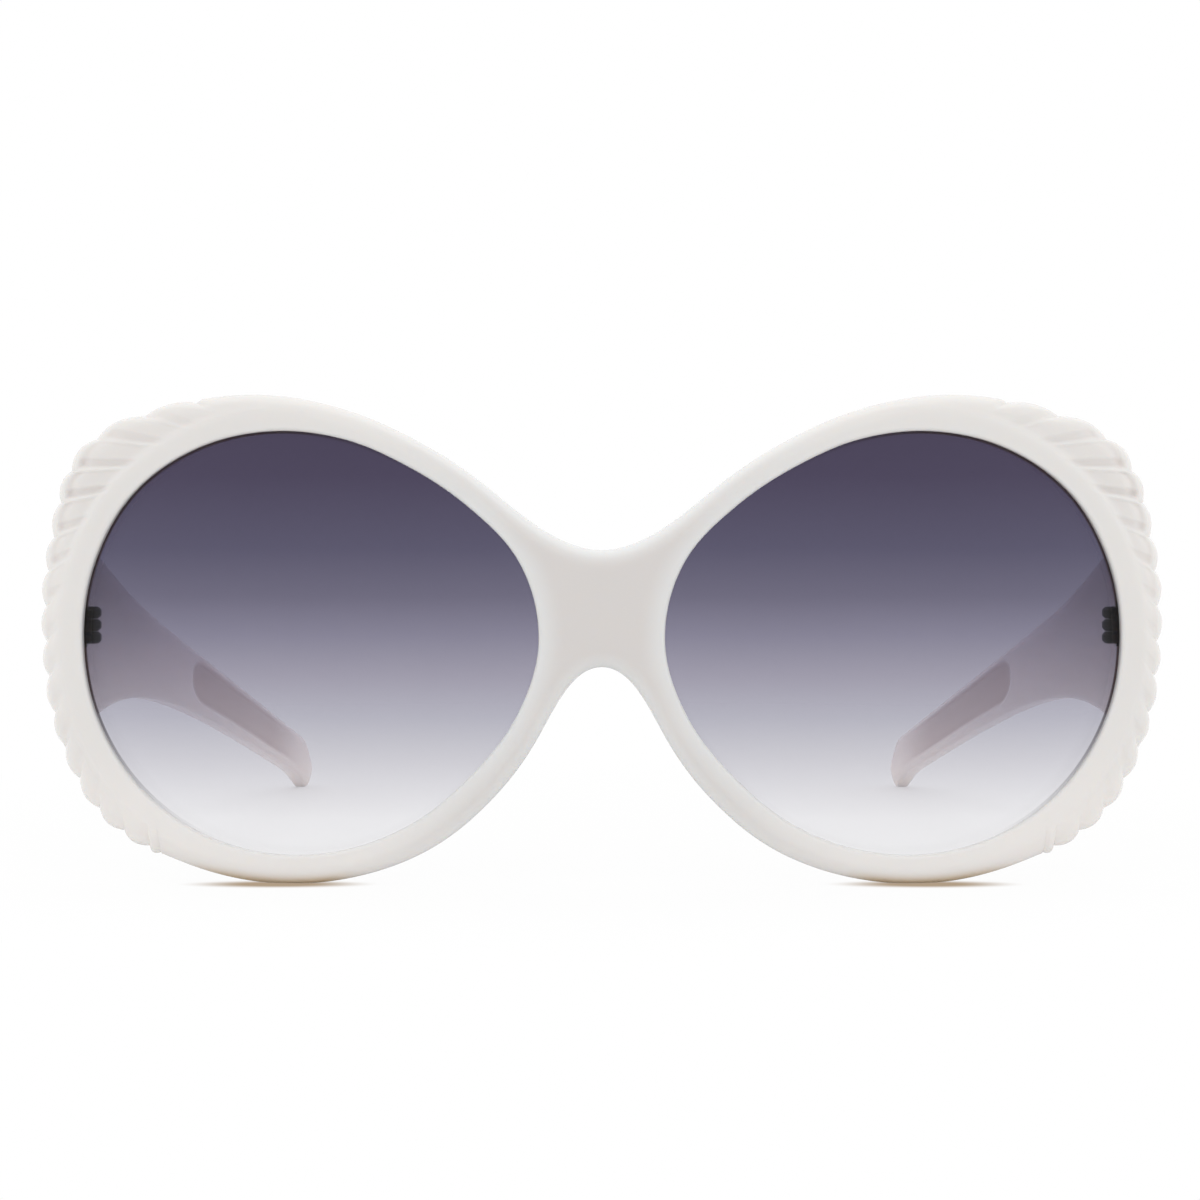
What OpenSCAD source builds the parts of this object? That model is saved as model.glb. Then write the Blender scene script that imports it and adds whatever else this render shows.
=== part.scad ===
// Oversized sunglasses with a pleated milky frame, tinted lenses and folding temples.
// Millimetres. +Z is up, the front faces -Y and the temples run back along +Y.
// The origin is the middle of the footprint, on the surface that the glasses stand on.
// Left and right are the wearer's: left is +X, and right is -X.
// The left half is drawn, and the right half is its mirror image.

/* [Lenses] */
// Width of a lens opening
lens_w = 60; // [52:1:64]
// Height of a lens opening
lens_h = 56; // [46:1:60]
// Gap between the two lens openings at the nose
lens_gap = 16.6; // [14:0.2:22]
// Thickness of a lens
lens_t = 1.8; // [1.4:0.1:1.9]
// Radius of the domed front of a lens
lens_r = 150; // [140:5:220]
// How far the lenses sit behind the middle of the rims
lens_back = 0.1; // [0:0.05:0.2]
// Depth of the groove that holds a lens
groove_deep = 0.9; // [0.6:0.1:1]
// Clearance between a lens and its groove
lens_clear = 0.1; // [0.05:0.01:0.15]

/* [Rims] */
// Width of the plain part of a rim
rim_w = 4; // [3.6:0.1:5]
// Thickness of the front from its face to its back
rim_t = 5; // [4.8:0.1:6]
// Radius of the front face's outer edge
face_round = 2.4; // [1.5:0.1:3]
// Radius of the back's outer edge
back_round = 1.2; // [0.6:0.1:2]
// Radius of the edge beside the lens
lip_round = 0.5; // [0.2:0.05:0.5]
// Width of the band round the outside that is square to the face
edge_band = 1; // [0.6:0.1:1.6]
// How much is flat at the bottom of each rim
foot_cut = 0.15; // [0.1:0.01:0.3]
// Angle that each half of the front turns back
wrap_deg = 6; // [3:0.5:9]
// Radius of the turn at the middle of the front
wrap_round = 9; // [5:0.5:14]

/* [Bridge] */
// Height of the bridge's top edge above the middle of the lenses
bridge_rise = 12; // [9:0.5:14]
// Depth of the bridge's lower edge below the middle of the lenses
arch_drop = 3.4; // [2:0.2:6]
// Reach of the straight run at the bridge's top edge
top_ease = 5.5; // [3:0.5:7]
// Reach of the straight run at the bridge's lower edge
arch_ease = 4.2; // [2:0.2:5]

/* [Pleats] */
// Depth of the scallops round the outside
scallop_deep = 0.7; // [0.3:0.05:1]
// Depth of the pleats in the face
pleat_deep = 0.7; // [0.3:0.05:1]
// Width of the smooth band between the lens and the pleats
smooth_band = 3.2; // [2.5:0.1:4]
// Angle that the pleats lean, away from straight out
pleat_lean = 42; // [20:1:50]

/* [Nose pads] */
// How far a nose pad stands out behind the rim
pad_reach = 4; // [2:0.5:6]
// Radius of a nose pad's rounded back
pad_round = 1.4; // [1:0.1:1.6]

/* [Temples] */
// Length of a temple along the glasses
temple_l = 133; // [115:1:145]
// Thickness of a temple at its front end
temple_t = 4.2; // [3.8:0.1:5]
// Thickness of a temple at its tip
tip_t = 3.2; // [2.6:0.1:4]
// Height of a temple's arm where it leaves the flare
arm_h = 9.8; // [8:0.2:13]
// Height of a temple's upper edge at its tip
tip_h = 7.9; // [6:0.1:10]
// Height of a temple's lower edge at its tip, before the tip turns down
tip_lift = 0.9; // [0.4:0.1:2]
// Length over which the tip turns down
tip_turn = 15; // [10:1:30]
// Height of the middle of the arm above the hinge, at the front end
arm_above = 5.2; // [3:0.2:6]
// How far the flare rises above the arm
flare_up = 3.6; // [1:0.1:6]
// How far the flare drops below the arm
flare_down = 17.7; // [10:0.1:19]
// Length over which the flare fades
flare_fade = 21.7; // [14:0.1:28]
// Angle that the temples lean in towards the head
temple_in_deg = 8; // [4:0.2:9]
// Gap between the front and the end of a temple
temple_gap = 0.3; // [0.25:0.05:0.6]
// Depth of the flutes on the flare's outside
flute_deep = 0.4; // [0.2:0.05:0.6]
// Depth of the panel in a temple's inner side
panel_deep = 0.35; // [0.2:0.05:0.5]

/* [Hinges] */
// Diameter of the hinge knuckles
knuckle_d = 3.85; // [3:0.05:4]
// Size of the bevel at both ends of a knuckle
knuckle_edge = 0.4; // [0.1:0.05:0.5]
// Height of the three knuckles together
hinge_h = 4.9; // [4.4:0.1:6]
// Height of the hinge above the middle of the lenses
hinge_rise = 1.7; // [0:0.1:4]
// Gap between one knuckle and the next
knuckle_gap = 0.1; // [0.06:0.01:0.15]
// Gap between the knuckles and the back of the front
barrel_gap = 0.3; // [0.25:0.05:0.6]
// Thickness of the hinge leaves
leaf_t = 0.9; // [0.7:0.05:1]
// Height of the hinge leaves
leaf_h = 6; // [5:0.5:8]
// Clearance between a hinge leaf and the plastic round it
leaf_clear = 0.05; // [0.02:0.01:0.08]
// Wall of plastic between the lens groove and the hinge leaf
groove_wall = 0.3; // [0.25:0.05:0.5]
// Width of the leaf that is set in the front
front_leaf_w = 2.6; // [2:0.1:3]
// Length of the leaf that is set in the temple
temple_leaf_l = 8; // [5:0.5:12]
// Diameter of the hinge screw
screw_d = 1.2; // [1:0.05:1.4]
// Diameter of the hinge screw's head
head_d = 2; // [1.8:0.05:2.1]
// Thickness of the hinge screw's head
head_t = 0.45; // [0.35:0.05:0.6]
// Clearance round the hinge screw
screw_clear = 0.03; // [0.02:0.01:0.06]
// Width of the slot in the screw's head
slot_w = 0.3; // [0.2:0.05:0.4]

/* [Hidden] */
overrun = 1;
straight = 180;
full_turn = 360;
milky = [0.89, 0.88, 0.86];
smoke = [0.42, 0.41, 0.48];
gunmetal = [0.2, 0.2, 0.22];
steel = [0.45, 0.45, 0.47];

// Outline angles go round a lens from the nose (0) over the top (90) to the temple (180).
// The opening is an oval, drawn in or out by these shares every 20 degrees.
opening_shares = [
    1.013, 1, 0.945, 0.93, 0.961, 1, 1.033, 1.047, 1.028,
    1.014, 1.022, 1.034, 1.039, 1.026, 1.001, 0.974, 0.954, 0.98
];
// The rim's width every 20 degrees, as shares of the plain width.
rim_shares = [
    1.1, 1.07, 0.92, 0.89, 0.955, 1.228, 1.64, 2.28, 1.655,
    1.35, 1.443, 1.61, 1.17, 1, 0.97, 1.04, 1.06, 0.98
];
// The cusps between the scallops, as angles round the lens.
cusps = [
    115.5, 126.5, 137, 145, 151.5, 158.5, 165.5, 173, 180.5, 188, 196, 203.5, 211, 218.5, 225.5, 232, 235
];
// Where the bridge's two edges leave the middle, and where they join the rim.
top_turn = 17;
top_join = 40;
arch_turn = -5;
arch_join = -25;
arch_pull_share = 1.15;
// Where the lean of the pleats starts and ends on the plain rim.
lean_start = 70;
lean_end = 280;
// Places along a section of the rim, from the lens (0) to the outside (1).
face_shares = [0, 0.1, 0.25, 0.45, 0.62, 0.78, 0.91, 1];
back_shares = [1, 0.88, 0.55, 0.2, 0];
// How much of a scallop lies inside the mean outline, and the shape of a pleat across and at its outer end.
scallop_level_share = 0.5;
pleat_skew_share = 0.75;
pleat_open_share = 0.5;
steps_mid = 12;
steps_edge = 9;
steps_plain = 14;
steps_low = 19;
steps_lobe = 5;

function mix(a, b, f) = a + (b - a) * f;
function limited(v) = max(0, min(1, v));
function smooth(f) = limited(f) * limited(f) * (3 - 2 * limited(f));
function round_edge(f) = f >= 1 ? 1 : sqrt(1 - pow(1 - max(0, f), 2));
function unit(v) = v / norm(v);
function out_from(a) = [-cos(a), sin(a)];
function cubic(p, q, r, s, f) =
    q + (r - p) * f / 2 + (p * 2 - q * 5 + r * 4 - s) * f * f / 2
    + (q * 3 - r * 3 + s - p) * f * f * f / 2;
function share_at(list, a) =
    let (n = len(list), u = a / full_turn * n + n, i = floor(u))
    cubic(list[(i - 1) % n], list[i % n], list[(i + 1) % n], list[(i + 2) % n], u - i);
function bezier(p, q, r, s, f) =
    p * pow(1 - f, 3) + q * 3 * f * pow(1 - f, 2) + r * 3 * f * f * (1 - f) + s * pow(f, 3);

// The outlines, seen from the front and measured from the middle of the lens.
function opening_radius(a) =
    share_at(opening_shares, a) / sqrt(pow(cos(a) * 2 / lens_w, 2) + pow(sin(a) * 2 / lens_h, 2));
function opening(a) = opening_radius(a) * out_from(a);
function opening_normal(a) = let (t = unit(opening(a + 1) - opening(a - 1))) [-t[1], t[0]];
function lobe(a, i = 0) =
    a < cusps[0] || i > len(cusps) - 2 ? -1
    : a < cusps[i + 1] ? (a - cusps[i]) / (cusps[i + 1] - cusps[i]) : lobe(a, i + 1);
function bulge(f) = 1 - pow(2 * f - 1, 2);
function plain_width(a) = rim_w * share_at(rim_shares, a);
function rim_width(a) =
    let (f = lobe(a)) plain_width(a) + (f < 0 ? 0 : scallop_deep * (bulge(f) - scallop_level_share));
function rim_edge(a) = (opening_radius(a) + rim_width(a)) * out_from(a);
function lean(a) =
    plain_width(a) * tan(pleat_lean) / opening_radius(a) * straight / PI
    * smooth((a - lean_start) / (cusps[0] - lean_start))
    * smooth((lean_end - a) / (lean_end - cusps[len(cusps) - 1]));

lens_x = lens_gap / 2 + opening_radius(0);
rim_low = max([for (a = [240:0.5:300]) -rim_edge(a)[1]]);
lens_z = rim_low - foot_cut;
top_middle = [-lens_x, bridge_rise];
arch_middle = [-lens_x, -arch_drop];
top_end = rim_edge(top_join);
arch_end = rim_edge(arch_join);
top_way = unit(rim_edge(top_join + 1) - top_end);
arch_way = unit(rim_edge(arch_join - 1) - arch_end);

// A spoke runs from the opening to the outside. It is a list of its angle round the outside, its angle
// round the opening, its outer point, and whether it ends at the bridge.
function mid_spoke(f) =
    let (e = (1 - cos(straight * f)) / 2, a = mix(arch_turn, top_turn, e))
    [a, a, mix(arch_middle, top_middle, e), true];
function top_spoke(f) =
    let (a = mix(top_turn, top_join, f))
    [a, a, bezier(top_middle, top_middle + [top_ease, 0], top_end - top_way * top_ease, top_end, f), true];
function arch_spoke(f) =
    let (a = mix(arch_turn, arch_join, f))
    [a, a, bezier(arch_middle, arch_middle + [arch_ease, 0],
        arch_end - arch_way * arch_ease * arch_pull_share, arch_end, f), true];
function rim_spoke(a) = [a, a - lean(a), rim_edge(a), false];
spokes = concat(
    [for (i = [0:steps_mid - 1]) mid_spoke(i / steps_mid)],
    [for (i = [0:steps_edge - 1]) top_spoke(i / steps_edge)],
    [for (i = [0:steps_plain - 1]) rim_spoke(mix(top_join, cusps[0], i / steps_plain))],
    [for (k = [0:len(cusps) - 2]) for (i = [0:steps_lobe - 1])
        rim_spoke(mix(cusps[k], cusps[k + 1], i / steps_lobe))],
    [for (i = [0:steps_low - 1]) rim_spoke(mix(cusps[len(cusps) - 1], full_turn + arch_join, i / steps_low))],
    [for (i = [0:steps_edge - 1]) arch_spoke(1 - i / steps_edge)]
);
top_edge = concat(
    [for (i = [0:steps_edge]) top_spoke(i / steps_edge)[2]], [for (a = [44:4:60]) rim_edge(a)]
);
arch_edge = concat(
    [for (i = [0:steps_edge]) arch_spoke(i / steps_edge)[2]], [for (a = [-29:-4:-45]) rim_edge(a)]
);

function to_segment(p, a, b) =
    let (v = b - a, f = limited((p - a) * v / (v * v))) norm(p - a - v * f);
function to_edge(p, e) = min([for (i = [0:len(e) - 2]) to_segment(p, e[i], e[i + 1])]);
function wrap_y(x) = tan(wrap_deg) * (sqrt(x * x + wrap_round * wrap_round) - wrap_round);
function wrap_slope(x) = tan(wrap_deg) * x / sqrt(x * x + wrap_round * wrap_round);

// The lens is a part of a hollow ball, and so are the two sides of its groove.
lens_sag = pow(lens_w / 2 + lens_h / 2, 2) / 8 / lens_r;
lens_turn = atan(wrap_slope(lens_x));
lens_mid_y = wrap_y(lens_x) + rim_t / 2 + lens_back - lens_sag;
ball_r = lens_r - lens_t / 2;
ball_at = [-ball_r * sin(lens_turn), lens_mid_y + ball_r * cos(lens_turn)];
groove_front_r = lens_r + lens_clear;
groove_back_r = lens_r - lens_t - lens_clear;
function ball_y(p, r) = ball_at[1] - sqrt(r * r - pow(p[0] - ball_at[0], 2) - p[1] * p[1]);

// The face stands forward of the middle of the rim's thickness, and the back stands behind it.
function stand(gap, radius) = edge_band / 2 + (rim_t / 2 - edge_band / 2) * round_edge(gap / radius);
function lip(gap) = lip_round * (1 - round_edge(gap / lip_round));
function pleat(a, from_lens, from_edge) =
    let (f = lobe(a), deep = pleat_deep * min(1, plain_width(a) / rim_w - 1))
    f < 0 ? 0
    : deep * (1 - bulge(pow(f, pleat_skew_share))) * smooth((from_lens - smooth_band) / smooth_band * 2)
      * smooth(from_edge / edge_band + pleat_open_share);
function front_point(p, y) = [lens_x + p[0], y, max(0, lens_z + p[1])];
function section(s) =
    let (a = s[0], start = opening(s[1]), flat = s[3] ? norm(s[2] - start) : rim_width(a),
        q = start + opening_normal(s[1]) * groove_deep)
    concat(
        [for (f = face_shares)
            let (p = mix(start, s[2], f), mid = wrap_y(lens_x + p[0]) + rim_t / 2,
                gap = s[3] ? min(to_edge(p, top_edge), to_edge(p, arch_edge)) : flat * (1 - f))
            front_point(p, mid - stand(gap, face_round) + lip(flat * f) + pleat(a, flat * f, gap))],
        [for (f = back_shares)
            let (p = mix(start, s[2], f), mid = wrap_y(lens_x + p[0]) + rim_t / 2,
                gap = s[3] ? min(to_edge(p, top_edge), to_edge(p, arch_edge)) : flat * (1 - f))
            front_point(p, mid + stand(gap, back_round) - lip(flat * f))],
        [front_point(start, ball_y(start, groove_back_r)), front_point(q, ball_y(q, groove_back_r)),
            front_point(q, ball_y(q, groove_front_r)), front_point(start, ball_y(start, groove_front_r))]
    );
function ring_faces(rows, n, closed) =
    [for (i = [0:rows - (closed ? 1 : 2)]) for (j = [0:n - 1])
        let (k = (j + 1) % n, next = (i + 1) % rows,
            a = i * n + j, b = i * n + k, c = next * n + k, d = next * n + j)
        each [[a, b, c], [a, c, d]]];

// The hinge, tied to the lens groove and to the back of the front.
knuckle_r = knuckle_d / 2;
hinge_z = lens_z + hinge_rise;
side_a = straight - asin(hinge_rise / (lens_w / 2));
leaf_x = lens_x + opening(side_a)[0] + groove_deep + groove_wall;
hinge_x = leaf_x + leaf_t - knuckle_r;
back_y = wrap_y(hinge_x) + rim_t;
hinge_y = back_y + barrel_gap + knuckle_r;
knuckle_h = (hinge_h - 2 * knuckle_gap) / 3;
front_leaf_y = back_y - front_leaf_w;
front_leaf_share = 0.6;
temple_leaf_h = leaf_h * 2 / 3;
knuckle_step = knuckle_h + knuckle_gap;
relief_r = norm([knuckle_r, knuckle_r + barrel_gap]) + barrel_gap / 2;

// The nose pads: where their ribs stand round the rim, and how far each one reaches.
pad_angles = [-14, -22, -31, -40, -49, -57];
pad_reach_shares = [0.1, 0.75, 1, 0.95, 0.6, 0.05];
pad_share = 0.62;
pad_sink_share = 0.7;
pad_lean_share = 0.12;

// The temple, measured back from its front end.
side_x = lens_x + rim_edge(straight)[0];
temple_y = wrap_y(side_x) + rim_t + temple_gap;
depth = temple_y + temple_l;
middle_y = -depth / 2;
arm_z = hinge_z + arm_above;
tip_low = 2;
tip_least = tip_low / 8;
tip_high = 4.6;
tip_rise_share = 0.4;
tip_thin_share = 0.55;
tip_z = tip_h * tip_rise_share;
temple_leaf_y = hinge_y + relief_r;
flutes = 6;
flute_shares = [for (i = [0:flutes * 4]) i / flutes / 4];
inner_shares = [1, 0.94, 0.88, 0.82, 0.5, 0.27, 0.2, 0.14, 0.07, 0];
panel_share = 0.425;
panel_end_share = 0.9;
panel_low_share = 0.17;
panel_high_share = 0.85;
side_edge_share = 0.4;
crown_share = 0.3;
flute_run_share = 1.5;
flute_run = flute_run_share * flare_fade;
panel_fade = 4 * flute_deep;
panel_run_share = 0.2;
station_shares = concat(
    [for (i = [0:13]) i * 0.015], [for (i = [0:5]) 0.22 + i * 0.032],
    [panel_share - 0.003, panel_share + 0.006, panel_share + 0.014],
    [for (i = [1:13]) 0.404 + i * 0.04], [0.95, 0.965, 0.977, 0.986, 0.993, 0.998, 1]
);
low_start = arm_z - arm_h / 2;
high_start = arm_z + arm_h / 2;
low_run = temple_l - tip_low;
turn_run = low_run - tip_turn;
high_run = temple_l - tip_high;
function flare(y) = exp(-pow(y / flare_fade, 2));
function drop(y) = exp(-y / flare_fade);
function arm_low(y) =
    y < low_run
    ? (mix(low_start, tip_lift, y / temple_l) - flare_down * drop(y))
        * (1 - pow(max(0, (y - turn_run) / tip_turn), 4))
    : tip_z * (1 - sqrt(max(0, 1 - pow((y - low_run) / tip_low, 2))));
function arm_high_line(y) = mix(high_start, tip_h, y / temple_l) + flare_up * flare(y);
function arm_high(y) =
    y < high_run ? arm_high_line(y)
    : tip_z + (arm_high_line(y) - tip_z) * sqrt(max(0, 1 - pow((y - high_run) / tip_high, 2)));
function side_round(f) = mix(side_edge_share, 1, pow(max(0, 1 - pow(abs(2 * f - 1), 5)), 0.5));
function temple_section(y) =
    let (low = max(0, arm_low(y)), high = max(low + tip_least, arm_high(y)),
        x = leaf_x - y * tan(temple_in_deg),
        end_thin = mix(tip_thin_share, 1, round_edge((temple_l - y) / tip_low)),
        t = mix(temple_t, tip_t, smooth(y / temple_l)) * end_thin,
        fluted = flute_deep * (1 - smooth(y / flute_run)),
        crown = t * crown_share * flare(y),
        panel = panel_deep * smooth((y - panel_share * temple_l) / panel_fade)
            * smooth((panel_end_share - y / temple_l) / panel_run_share))
    concat(
        [for (f = flute_shares)
            let (cut = fluted * (1 - bulge(f * flutes % 1)) + crown * pow(2 * f - 1, 2))
            [x + t / 2 + t / 2 * side_round(f) - cut, temple_y + y, mix(low, high, f)]],
        [for (f = inner_shares)
            [x + t / 2 - t / 2 * side_round(f) + (f > panel_low_share && f < panel_high_share ? panel : 0),
                temple_y + y, mix(low, high, f)]]
    );
temple_points = [for (f = station_shares) each temple_section(f * temple_l)];
temple_ring = len(flute_shares) + len(inner_shares);
temple_rows = len(station_shares);

module placed() {
    translate([0, middle_y, 0]) children();
}

module at_hinge(z = 0) {
    translate([hinge_x, hinge_y, hinge_z + z]) children();
}

module half_front() {
    points = [for (s = spokes) each section(s)];
    polyhedron(points, ring_faces(len(spokes), len(face_shares) + len(back_shares) + 4, true), convexity = 8);
}

// A nose pad is a row of rounded ribs on the back of the rim beside the nose.
module pad_rib(i) {
    a = pad_angles[i];
    p = mix(opening(a), rim_edge(a), pad_share);
    y = wrap_y(lens_x + p[0]) + rim_t;
    for (out = [-pad_round * pad_sink_share, pad_reach * pad_reach_shares[i] - pad_round / 2])
        translate([lens_x + p[0] - out * pad_lean_share, y + out, lens_z + p[1]]) sphere(pad_round, $fn = 16);
}

module nose_pad() {
    for (i = [0:len(pad_angles) - 2]) {
        hull() {
            pad_rib(i);
            pad_rib(i + 1);
        }
    }
}

// A web joins a knuckle to its leaf, flush with the knuckle's outer side.
module web(z, from_y, to_y, grow) {
    translate([leaf_x - grow, from_y - grow, hinge_z + z - knuckle_h / 2 - grow])
        cube([leaf_t + 2 * grow, to_y - from_y + 2 * grow, knuckle_h + 2 * grow]);
}

module leaf_in_front(grow = 0) {
    translate([leaf_x - grow, front_leaf_y - grow, hinge_z - leaf_h / 2 - grow])
        cube([leaf_t + 2 * grow, front_leaf_w * front_leaf_share + 2 * grow, leaf_h + 2 * grow]);
    web(knuckle_step, front_leaf_y, hinge_y, grow);
    web(-knuckle_step, front_leaf_y, hinge_y, grow);
}

module leaf_in_temple(grow = 0) {
    translate([leaf_x - grow, temple_leaf_y - grow, hinge_z - temple_leaf_h / 2 - grow])
        cube([leaf_t + 2 * grow, temple_leaf_l + 2 * grow, temple_leaf_h + 2 * grow]);
    web(0, hinge_y, temple_leaf_y + leaf_t, grow);
}

module frame_front() {
    color(milky) placed() {
        difference() {
            union() {
                half_front();
                mirror([1, 0, 0]) half_front();
                nose_pad();
                mirror([1, 0, 0]) nose_pad();
            }
            leaf_in_front(leaf_clear);
            mirror([1, 0, 0]) leaf_in_front(leaf_clear);
        }
    }
}

module lens() {
    edge = [for (s = spokes) opening(s[1]) + opening_normal(s[1]) * (groove_deep - lens_clear)];
    intersection() {
        translate([lens_x, 0, lens_z]) rotate([90, 0, 0]) linear_extrude(lens_w, center = true) polygon(edge);
        translate([lens_x + ball_at[0], ball_at[1], lens_z]) difference() {
            sphere(lens_r, $fn = 200);
            sphere(lens_r - lens_t, $fn = 200);
        }
    }
}

module temple() {
    last = (temple_rows - 1) * temple_ring;
    caps = [[for (j = [temple_ring - 1:-1:0]) j], [for (j = [0:temple_ring - 1]) last + j]];
    difference() {
        polyhedron(temple_points, concat(ring_faces(temple_rows, temple_ring, false), caps), convexity = 6);
        at_hinge(-leaf_h / 2) cylinder(h = leaf_h, r = relief_r, $fn = 48);
        leaf_in_temple(leaf_clear);
    }
}

module knuckle(z) {
    at_hinge(z) rotate_extrude($fn = 48) polygon([
        [0, -knuckle_h / 2],
        [knuckle_r - knuckle_edge, -knuckle_h / 2],
        [knuckle_r, -knuckle_h / 2 + knuckle_edge],
        [knuckle_r, knuckle_h / 2 - knuckle_edge],
        [knuckle_r - knuckle_edge, knuckle_h / 2],
        [0, knuckle_h / 2]
    ]);
}

module screw_hole() {
    at_hinge(-hinge_h / 2 - overrun)
        cylinder(h = hinge_h + 2 * overrun, r = screw_d / 2 + screw_clear, $fn = 48);
}

module front_hinge() {
    difference() {
        union() {
            knuckle(knuckle_step);
            knuckle(-knuckle_step);
            leaf_in_front();
        }
        screw_hole();
        at_hinge(hinge_h / 2 - head_t) cylinder(h = head_t + overrun, r = head_d / 2 + screw_clear, $fn = 48);
    }
}

module temple_hinge() {
    difference() {
        union() {
            knuckle(0);
            leaf_in_temple();
        }
        screw_hole();
    }
}

module hinge_screw() {
    difference() {
        union() {
            at_hinge(-hinge_h / 2) cylinder(h = hinge_h - head_t / 2, d = screw_d, $fn = 48);
            at_hinge(hinge_h / 2 - head_t) cylinder(h = head_t, d = head_d, $fn = 48);
        }
        at_hinge(hinge_h / 2 - head_t / 2)
            translate([-head_d, -slot_w / 2, 0]) cube([2 * head_d, slot_w, head_t]);
    }
}

module left_lens() {
    color(smoke, 0.6) placed() lens();
}

module right_lens() {
    color(smoke, 0.6) placed() mirror([1, 0, 0]) lens();
}

module left_temple() {
    color(milky) placed() temple();
}

module right_temple() {
    color(milky) placed() mirror([1, 0, 0]) temple();
}

module left_front_hinge() {
    color(gunmetal) placed() front_hinge();
}

module right_front_hinge() {
    color(gunmetal) placed() mirror([1, 0, 0]) front_hinge();
}

module left_temple_hinge() {
    color(gunmetal) placed() temple_hinge();
}

module right_temple_hinge() {
    color(gunmetal) placed() mirror([1, 0, 0]) temple_hinge();
}

module left_hinge_screw() {
    color(steel) placed() hinge_screw();
}

module right_hinge_screw() {
    color(steel) placed() mirror([1, 0, 0]) hinge_screw();
}

frame_front();
left_lens();
right_lens();
left_temple();
right_temple();
left_front_hinge();
right_front_hinge();
left_temple_hinge();
right_temple_hinge();
left_hinge_screw();
right_hinge_screw();
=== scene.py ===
# %% [markdown]
# Oversized sunglasses.
# The object is a moulded milky front with two round openings, two tinted lenses, and two wide temples that
# fold behind the front on small dark hinges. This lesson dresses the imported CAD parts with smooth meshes
# and materials. Lengths are written in millimetres and turned into Blender's metres at the last moment,
# because every eyewear drawing is in millimetres.

# %% Load the fixed frame
import math
import bmesh
import bpy
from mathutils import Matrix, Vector


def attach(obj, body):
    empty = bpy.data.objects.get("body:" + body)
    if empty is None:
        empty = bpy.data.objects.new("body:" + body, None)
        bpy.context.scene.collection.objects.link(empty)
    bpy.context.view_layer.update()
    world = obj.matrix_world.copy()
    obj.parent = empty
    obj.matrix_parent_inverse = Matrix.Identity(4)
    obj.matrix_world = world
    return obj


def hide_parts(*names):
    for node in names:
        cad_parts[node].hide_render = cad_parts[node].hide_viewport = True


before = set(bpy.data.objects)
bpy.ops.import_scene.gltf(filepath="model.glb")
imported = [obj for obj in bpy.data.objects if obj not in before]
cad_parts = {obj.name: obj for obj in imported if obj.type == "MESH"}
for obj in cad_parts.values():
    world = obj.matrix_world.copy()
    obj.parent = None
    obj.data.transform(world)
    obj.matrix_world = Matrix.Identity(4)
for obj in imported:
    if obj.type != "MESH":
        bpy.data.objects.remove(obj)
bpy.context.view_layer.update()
MM = 0.001
print("CAD nodes:", sorted(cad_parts))

# %% [markdown]
# The camera.
# A product photo of glasses is taken from straight ahead with a long lens, a little above the table. The
# camera stands 400 mm in front of the bridge and 50 mm above the table, and looks down by less than two
# degrees. That tilt puts the horizon above the middle of the picture, so no lens shift is needed. It stands
# a quarter of a millimetre off the middle plane, as a camera placed by hand does.

# %% Camera
front_y = -72.612
camera_back, camera_up, camera_aside, camera_down_deg = 400, 50.3, -0.24, 1.80
camera_data = bpy.data.cameras.new("camera")
camera_data.lens, camera_data.sensor_width = 91.87, 36
camera_data.clip_start, camera_data.clip_end = 0.01, 50
camera = bpy.data.objects.new("camera", camera_data)
bpy.context.scene.collection.objects.link(camera)
camera.location = Vector((camera_aside, front_y - camera_back, camera_up)) * MM
camera.rotation_euler = (math.radians(90 - camera_down_deg), 0, 0)
bpy.context.scene.camera = camera
print("camera at", tuple(round(c, 4) for c in camera.location))

# %% [markdown]
# The sizes that the shapes share.
# These are the sizes of the part: the openings, the rims, the bridge, the pleats and the temples. A mesh
# that repeats them lies exactly where the CAD solid lies, and only adds the fine forms that a solid with
# few faces leaves out.

# %% Sizes of the front
lens_w, lens_h, lens_gap, lens_t, lens_r, lens_back = 60, 56, 16.6, 1.8, 150, 0.1
groove_deep, lens_clear = 0.9, 0.1
rim_w, rim_t, face_round, back_round, lip_round, edge_band, foot_cut = 4, 5, 2.4, 1.2, 0.5, 1, 0.15
wrap_deg, wrap_round = 6, 9
bridge_rise, arch_drop, top_ease, arch_ease, arch_pull = 12, 3.4, 5.5, 4.2, 1.15
scallop_deep, pleat_deep, smooth_band, pleat_lean = 0.7, 0.7, 3.2, 42
opening_shares = [1.013, 1, 0.945, 0.93, 0.961, 1, 1.033, 1.047, 1.028,
                  1.014, 1.022, 1.034, 1.039, 1.026, 1.001, 0.974, 0.954, 0.98]
rim_shares = [1.1, 1.07, 0.92, 0.89, 0.955, 1.228, 1.64, 2.28, 1.655,
              1.35, 1.443, 1.61, 1.17, 1, 0.97, 1.04, 1.06, 0.98]
cusps = [115.5, 126.5, 137, 145, 151.5, 158.5, 165.5, 173, 180.5,
         188, 196, 203.5, 211, 218.5, 225.5, 232, 235]
top_turn, top_join, arch_turn, arch_join = 17, 40, -5, -25
lean_start, lean_end = 70, 280
print("scallops on each side:", len(cusps) - 1)

# %% [markdown]
# Small curve helpers.
# A smooth step fades one form into another, a window keeps a form between two places, a quarter circle
# rounds an edge, and a spline through a short list of shares gives an outline its gentle changes.

# %% Curve helpers
def mix(a, b, f):
    return a + (b - a) * f


def smooth(f):
    f = max(0.0, min(1.0, f))
    return f * f * (3 - 2 * f)


def window(x, start, rise, end, fall):
    """1 between the start and the end, easing in over the rise and out over the fall."""
    return smooth((x - start) / rise) * smooth((end - x) / fall)


def round_edge(f):
    return 1.0 if f >= 1 else math.sqrt(1 - (1 - max(0.0, f)) ** 2)


def bulge(f):
    return 1 - (2 * f - 1) ** 2


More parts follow.
